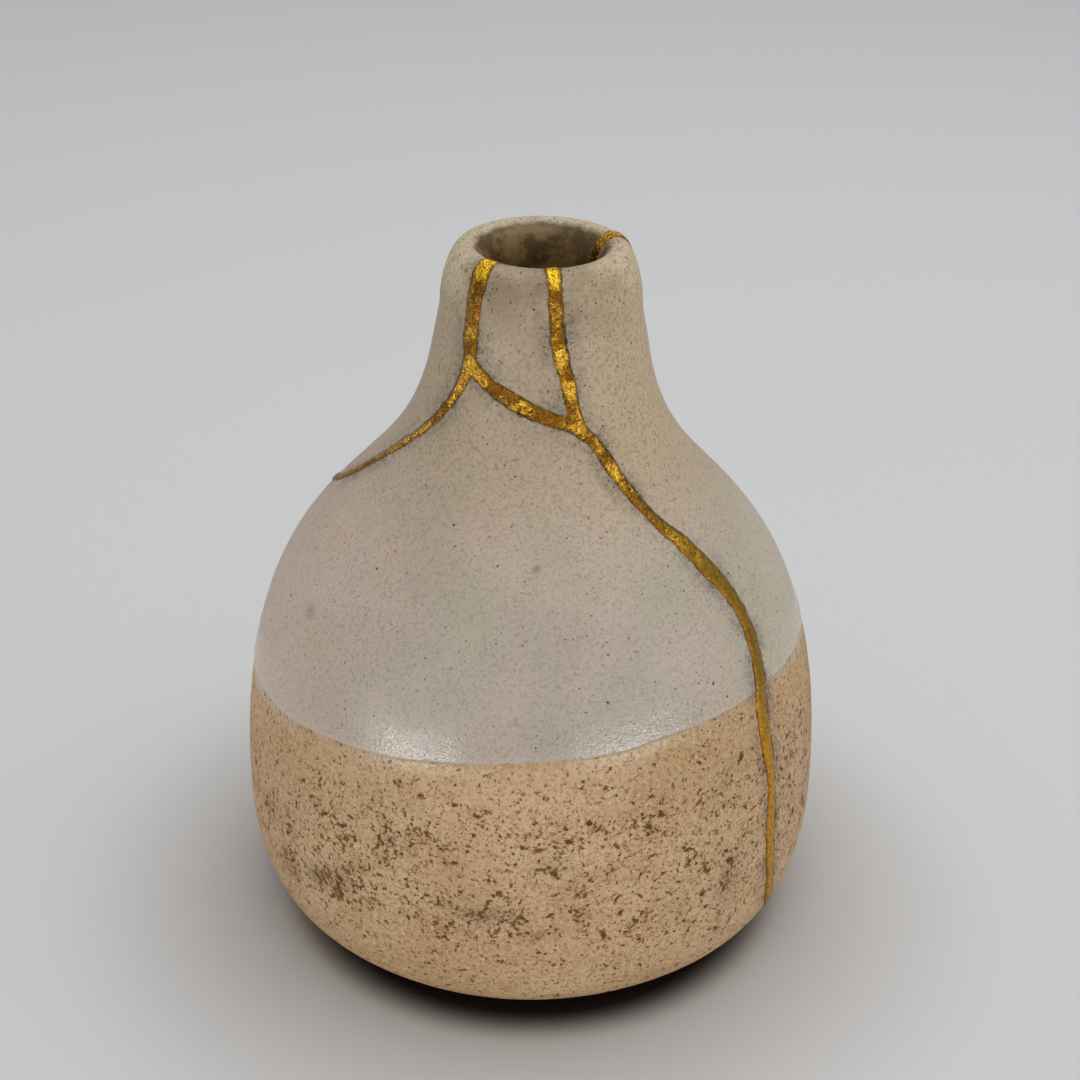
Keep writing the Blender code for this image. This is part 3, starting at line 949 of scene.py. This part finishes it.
def bare_clay(f, below, z, grime):
    """Sandy tan clay with soft brown iron spots round dark cores, crowded in a band low on the belly."""
    clay = f.blend(f.span(f.noise(12.0, 2.0), 0.35, 0.65), CLAY_WARM, CLAY_PALE)
    clay = f.blend(f.span(f.noise(2.8, 3.0, 0.6), 0.48, 0.64, 0.0, 0.4), clay, CLAY_OCHRE)
    clay = f.blend(f.span(f.noise(0.3, 3.0, 0.7), 0.46, 0.66, 0.0, 0.7), clay, CLAY_GRAIN)
    clay = f.blend(f.span(f.noise(0.24, 2.0, 0.7), 0.54, 0.68, 0.0, 0.55), clay, CLAY_SAND)
    band = f.times(f.span(below, *SPOTS_BAND_MM), f.span(z, *SPOTS_START))
    cloud = f.span(f.noise(5.0, 3.0, 0.6), 0.36, 0.66)
    cluster = f.span(f.noise(1.5, 3.0, 0.65), 0.48, 0.68)
    spread = f.times(f.pick(band, 0.25, 1.0), f.times(cluster, 0.075))
    crowd = f.math("MULTIPLY_ADD", f.times(cloud, f.pick(band, 0.25, 1.0)), 0.035, spread)
    crowd = f.math("MULTIPLY_ADD", grime, 0.07, f.plus(crowd, f.pick(band, -0.014, 0.0)))
    clay = f.blend(f.times(spread, 3.2), clay, CLAY_FLECK)
    clay = f.blend(f.math("MULTIPLY", grime, 0.4, clamp=True), clay, SMUDGE_HAZE)
    for size, level, strength in CLAY_DUST:
        dust = f.plus(f.noise(size, 2.0, 0.55), crowd)
        clay = f.blend(f.span(dust, level, level + 0.09, 0.0, strength), clay, CLAY_FLECK)
        clay = f.blend(f.span(dust, level + 0.05, level + 0.13, 0.0, strength), clay, CLAY_SPOT)
    for cell, radius, share, strength in CLAY_SPECKS:
        spots = f.times(f.specks(cell, radius, share, 0.7), strength)
        clay = f.blend(spots, clay, CLAY_SPOT)
    return clay


def satin_glaze(f, x, z, grime):
    """Grey-beige glaze: faint clouds of pink and green, a fine grain, and small dark pins."""
    glaze = f.blend(f.span(f.noise(11.0, 2.0), 0.35, 0.65), GLAZE_GREY, GLAZE_PALE)
    glaze = f.blend(f.span(f.noise(4.6, 3.0, 0.6), 0.47, 0.64, 0.0, 0.4), glaze, GLAZE_GREEN)
    glaze = f.blend(f.span(f.noise(5.6, 3.0, 0.6), 0.47, 0.64, 0.0, 0.36), glaze, GLAZE_PINK)
    glaze = f.blend(f.span(z, *NECK_TINT, 0.0, 0.85), glaze, GLAZE_NECK)
    # Painted light: the glaze is lightened on its right flank, on its left flank with a pinker tint, and on
    # the neck's right side
    glaze = f.blend(f.span(x, *RIGHT_LIGHT_SPAN, 0.0, 0.5), glaze, GLAZE_RIGHT_PAINTED_LIGHT)
    glaze = f.blend(f.span(x, *LEFT_LIGHT_SPAN, 0.6, 0.0), glaze, GLAZE_LEFT_PAINTED_LIGHT)
    high = f.span(z, *NECK_WEAR)
    glaze = f.blend(f.times(f.span(x, *NECK_RIGHT_LIGHT_SPAN, 0.0, 0.85), high), glaze, GLAZE_NECK_RIGHT_PAINTED_LIGHT)
    front = f.span(f.axis(1), *LIP_FRONT, 1.0, 0.0)
    crest = f.times(f.span(z, *LIP_TINT, 0.0, 0.9), f.math("SUBTRACT", 1.0, front))
    glaze = f.blend(crest, glaze, GLAZE_CREST)
    lip = f.times(f.span(z, *LIP_WEAR), f.span(f.noise(2.6, 3.0, 0.6), 0.36, 0.6, 0.3, 1.0))
    lip = f.times(lip, f.pick(front, 0.15, 1.0))
    glaze = f.blend(lip, glaze, GLAZE_LIP)
    grain = f.span(f.noise(0.26, 3.0, 0.75), 0.48, 0.66)
    glaze = f.blend(f.times(grain, f.pick(high, 0.4, 0.75)), glaze, GLAZE_SHADE)
    glaze = f.blend(f.times(grime, 0.3), glaze, STAIN_PALE)
    veil = f.math("MULTIPLY_ADD", f.span(f.noise(4.0), 0.38, 0.64), 0.025, f.times(grime, 0.06))
    veil = f.math("MULTIPLY_ADD", f.times(high, f.span(f.noise(2.2), 0.42, 0.62)), 0.012, veil)
    for size, level, strength in GLAZE_DUST:
        dust = f.plus(f.noise(size, 2.0, 0.55), veil)
        glaze = f.blend(f.span(dust, level, level + 0.06, 0.0, strength), glaze, GLAZE_FLECK)
    for cell, radius, share, strength in GLAZE_PINS:
        spots = f.times(f.specks(cell, radius, share, 0.6), strength)
        glaze = f.blend(spots, glaze, GLAZE_PIN)
    for pins, where in ((LIP_PINS, lip), (NECK_PINS, high)):
        spots = f.times(f.specks(*pins, 0.7), f.times(where, 0.85))
        glaze = f.blend(spots, glaze, GLAZE_PIN)
    return glaze


def seam_stains(f, surface, gap, grime):
    """The marks of the mending beside the gold: grey haze, fine scratches, dots and a dark outline."""
    near = f.math("MAXIMUM", f.span(gap, *STAIN_REACH_MM, 1.0, 0.0), f.times(grime, 0.4))
    patchy = f.times(near, f.span(f.noise(3.2, 3.0, 0.65), 0.36, 0.6))
    surface = f.blend(f.times(patchy, 0.34), surface, STAIN_PALE)
    for size in STAIN_VEINS_MM:
        vein = f.math("ABSOLUTE", f.swing(size, 3.0, 0.7))
        surface = f.blend(f.times(f.span(vein, 0.004, 0.02, 0.8, 0.0), patchy), surface, STAIN_DARK_AND_SHADE)
    for spots in STAIN_DOTS:
        dots = f.times(f.specks(*spots, 0.8), f.times(patchy, 0.8))
        surface = f.blend(dots, surface, STAIN_DARK_AND_SHADE)
    ragged_gap = f.plus(gap, f.times(f.swing(0.5, 3.0, 0.7), 0.6))
    strength = f.span(f.noise(1.9, 3.0, 0.6), 0.4, 0.6, 0.35, 0.95)
    return f.blend(f.times(f.span(ragged_gap, *LACQUER_REACH_MM, 1.0, 0.0), strength), surface, LACQUER)


def stoneware():
    """Speckled bare clay with a satin glaze over the top, and the stains that lie beside the seams."""
    f = Finish("stoneware_and_glaze")
    x, z = f.axis(0), f.axis(2)
    inside = f.attribute("inside")
    grime = f.attribute("grime")
    below = f.times(f.attribute("glaze_line"), -1.0)
    clay = bare_clay(f, below, z, grime)
    glaze = satin_glaze(f, x, z, grime)

    line = f.plus(f.attribute("glaze_line"), f.times(f.swing(1.1, 3.0, 0.7), 0.8))
    glazed = f.span(line, *GLAZE_START_MM)
    # The glaze's edge is paler: thin glaze there, and painted light against the shade of the step below it
    edge = f.times(f.span(line, *GLAZE_RIM_MM), f.span(line, *GLAZE_RIM_END_MM, 1.0, 0.0))
    glaze = f.blend(f.times(edge, 0.15), glaze, GLAZE_THIN_EDGE_AND_LIGHT)
    surface = seam_stains(f, f.blend(glazed, clay, glaze), f.attribute("seam_gap"), grime)

    # Painted shade inside the mouth: below the crest the inner wall turns darker brown, mottled and
    # specked, with a darker painted ring just inside the lip
    depth = f.plus(inside, f.times(f.swing(1.2, 3.0, 0.65), 0.35))
    mouth_shade = f.blend(f.span(f.noise(2.0, 4.0, 0.65), 0.42, 0.6), MOUTH_SHADE_PALE, MOUTH_SHADE_DARK)
    mouth_shade = f.blend(f.times(f.specks(1.2, 0.2, 0.4, 0.8), 0.9), mouth_shade, STAIN_DARK_AND_SHADE)
    mouth_rim_shade = f.times(f.span(depth, 0.02, 0.1, 0.0, 0.4), f.span(depth, 0.12, 0.35, 1.0, 0.0))
    mouth_shade = f.blend(mouth_rim_shade, mouth_shade, STAIN_DARK_AND_SHADE)
    surface = f.blend(f.times(f.span(depth, 0.02, 0.2), f.span(inside, 0.0, 0.05)), surface, mouth_shade)

    pebble = f.plus(f.times(f.noise(0.34, 2.0, 0.6), 0.26), f.times(f.noise(2.6), 0.5))
    satin = f.bump(f.plus(pebble, f.times(f.noise(0.18, 2.0), 0.36)), GLAZE_BUMP_MM)
    tooth = f.plus(f.noise(0.3, 3.0, 0.7), f.times(f.noise(1.2, 2.0), 0.8))
    gritty = f.bump(tooth, CLAY_BUMP_MM)
    bumped = f.mix("VECTOR", "Vector", glazed, gritty, satin)

    dull = f.plus(f.span(f.noise(1.2, 3.0, 0.6), 0.3, 0.7, *GLAZE_ROUGHNESS),
                  f.span(f.attribute("glaze_line"), *GLAZE_DULL_MM, 0.0, GLAZE_DULLING))
    matte = f.plus(f.span(below, *CLAY_GLOSS_MM, *CLAY_ROUGHNESS),
                   f.span(f.noise(0.6, 3.0), 0.3, 0.7, 0.0, CLAY_UNEVENNESS))
    roughness = f.pick(glazed, matte, dull)
    return f.close(surface, roughness, bumped)


def gold():
    """Gold powder on lacquer: crumpled and bright on the neck, smoother and brown lower down."""
    f = Finish("gold_lacquer_bead")
    z = f.axis(2)
    gap = f.attribute("seam_gap")
    inside = f.attribute("inside")
    high = f.span(z, *GOLD_LEAF_START)

    base = f.blend(f.span(f.noise(2.4, 4.0, 0.65), 0.42, 0.56), GOLD_BRIGHT, GOLD_DEEP)
    smooth_gold = f.blend(f.span(z, *GOLD_LOW_END), GOLD_LOW, GOLD_OLIVE)
    base = f.blend(high, smooth_gold, base)
    base = f.blend(f.span(f.noise(0.3, 3.0, 0.75), 0.46, 0.64, 0.0, 0.7), base, GOLD_WORN_AND_SHADE)
    # Painted shade: a darker band on the gold just under the rim's top; then a painted highlight on the top
    # itself
    shade_band = f.times(f.span(z, *GOLD_SHADE_BAND, 0.0, 0.65), f.span(z, *GOLD_SHADE_BAND_END, 1.0, 0.0))
    base = f.blend(shade_band, base, GOLD_WORN_AND_SHADE)
    base = f.blend(f.span(z, *GOLD_HIGHLIGHT_START, 0.0, 0.85), base, GOLD_RIM_HIGHLIGHT)
    base = f.blend(f.times(f.specks(1.1, 0.14, 0.35, 0.6), 0.8), base, LACQUER)
    ragged_gap = f.plus(gap, f.times(f.swing(0.45, 3.0, 0.7), 0.5))
    base = f.blend(f.span(ragged_gap, *GOLD_EDGE_MM, 0.0, 0.8), base, GOLD_EDGE)
    base = f.blend(f.span(ragged_gap, *GOLD_LACQUER_MM, 0.0, 0.9), base, LACQUER)
    base = f.blend(f.times(inside, 0.35), base, GOLD_WORN_AND_SHADE)

    creases = f.math("ABSOLUTE", f.swing(0.6, 3.0, 0.6))
    leaf = f.math("MULTIPLY_ADD", f.noise(1.1, 2.0), 1.4, f.noise(0.34, 3.0, 0.65))
    leaf = f.math("MULTIPLY_ADD", creases, 2.4, leaf)
    normal = f.bump(f.times(leaf, f.pick(high, 0.22, 1.0)), GOLD_BUMP_MM)
    roughness = f.pick(high, f.span(f.noise(0.8, 3.0), 0.3, 0.7, *GOLD_LOW_ROUGHNESS),
                       f.span(f.noise(0.5, 3.0), 0.3, 0.7, *GOLD_HIGH_ROUGHNESS))
    return f.close(base, roughness, normal, Metallic=0.95)


def backdrop():
    """A pale floor that curves up behind the vase, with painted shadow round its foot, near black under its
    belly.
    """
    turn = np.linspace(-math.pi / 2, 0.0, BEND_STEPS)
    section = [(FLOOR_FRONT, 0.0)]
    section += [(FLOOR_REACH + FLOOR_BEND * math.cos(t), FLOOR_BEND + FLOOR_BEND * math.sin(t))
                for t in turn]
    section.append((FLOOR_REACH + FLOOR_BEND, BACK_HEIGHT))
    points = [(side * BACK_HALF_WIDTH, y, z) for y, z in section for side in (-1, 1)]
    faces = [(2 * k, 2 * k + 1, 2 * k + 3, 2 * k + 2) for k in range(len(section) - 1)]
    mesh = bpy.data.meshes.new("backdrop")
    mesh.from_pydata(points, [], faces)
    mesh.shade_smooth()
    f = Finish("pale_paper_painted_shadow")
    level = f.add("ShaderNodeVectorMath", operation="SUBTRACT")
    f.feed(level.inputs[0], f.place)
    level.inputs[1].default_value = PAINTED_SHADOW_CENTRE
    away = f.add("ShaderNodeVectorMath", operation="LENGTH")
    f.feed(away.inputs[0], level.outputs[0])
    # Painted shadow: the floor's colour darkens round the vase's foot and turns near black under its belly
    painted_shade = f.span(away.outputs["Value"], *PAINTED_SHADE_REACH, 0.3, 0.0)
    painted_shadow = f.span(away.outputs["Value"], *PAINTED_SHADOW_REACH, 1.0, 0.0)
    f.feed(f.shader.inputs["Base Color"], f.blend(painted_shadow, f.blend(painted_shade, PAPER, PAINTED_FLOOR_SHADE), PAINTED_CONTACT_SHADOW))
    f.shader.inputs["Roughness"].default_value = PAPER_ROUGHNESS
    mesh.materials.append(f.material)
    floor = bpy.data.objects.new("backdrop", mesh)
    bpy.context.scene.collection.objects.link(floor)


def soft_light(name, place, aim, width, depth, power, lit):
    """A rectangular lamp that faces its aim; a collection given as lit is all that it lights."""
    lamp = bpy.data.lights.new(name, "AREA")
    lamp.shape = "RECTANGLE"
    lamp.size = width
    lamp.size_y = depth
    lamp.energy = power
    holder = bpy.data.objects.new(name, lamp)
    holder.location = place
    holder.rotation_mode = "QUATERNION"
    holder.rotation_quaternion = (Vector(aim) - Vector(place)).to_track_quat("-Z", "Y")
    holder.visible_camera = False
    if lit is not None:
        holder.light_linking.receiver_collection = lit
    bpy.context.scene.collection.objects.link(holder)


def studio_world():
    """Even light from above and behind, and a darker room in front of the vase."""
    world = bpy.data.worlds.new("studio")
    world.use_nodes = True
    tree = world.node_tree
    way = tree.nodes.new("ShaderNodeTexCoord").outputs["Generated"]
    lift = tree.nodes.new("ShaderNodeVectorMath")
    lift.operation = "DOT_PRODUCT"
    lift.inputs[1].default_value = ROOM_LIFT
    level = tree.nodes.new("ShaderNodeMapRange")
    level.interpolation_type = "SMOOTHSTEP"
    for socket, value in zip(level.inputs[1:5], ROOM_LEVELS):
        socket.default_value = value
    tree.links.new(way, lift.inputs[0])
    tree.links.new(lift.outputs["Value"], level.inputs[0])
    back = tree.nodes["Background"]
    back.inputs["Color"].default_value = ROOM_TINT
    tree.links.new(level.outputs[0], back.inputs["Strength"])
    return world


def light_scene():
    """A wide lamp overhead, and two low ones whose light is kept off the floor."""
    low = bpy.data.collections.new("lit_by_low_lamps")
    for piece in bpy.data.objects:
        if piece.name.endswith("_dressed"):
            low.objects.link(piece)
    for name, (place, aim, width, depth, power, vase_alone) in LAMPS.items():
        soft_light(name, place, aim, width, depth, power, low if vase_alone else None)
    bpy.context.scene.world = studio_world()
    bpy.context.scene.view_settings.view_transform = "Standard"


def aim_camera():
    """The camera where the photograph was taken: its pitch below the horizon and its slight roll."""
    pitch, roll = math.radians(CAMERA_PITCH), math.radians(CAMERA_ROLL)
    right = Vector((1.0, 0.0, 0.0))
    forward = Vector((0.0, math.cos(pitch), -math.sin(pitch)))
    upright = Vector((0.0, math.sin(pitch), math.cos(pitch)))
    side = right * math.cos(roll) + upright * math.sin(roll)
    up = upright * math.cos(roll) - right * math.sin(roll)
    lens = bpy.data.cameras.new("photo_camera")
    lens.sensor_width = CAMERA_SENSOR_MM
    lens.lens = CAMERA_LENS_MM
    lens.clip_start = 0.01
    camera = bpy.data.objects.new("photo_camera", lens)
    turn = Matrix((side, up, -forward)).transposed().to_4x4()
    camera.matrix_world = Matrix.Translation(CAMERA_PLACE) @ turn
    bpy.context.scene.collection.objects.link(camera)
    bpy.context.scene.camera = camera


AZIMUTHS, ROWS = grid_rows()
make_shards(AZIMUTHS, ROWS, stoneware())
make_gold(AZIMUTHS, ROWS, gold())
backdrop()
light_scene()
aim_camera()
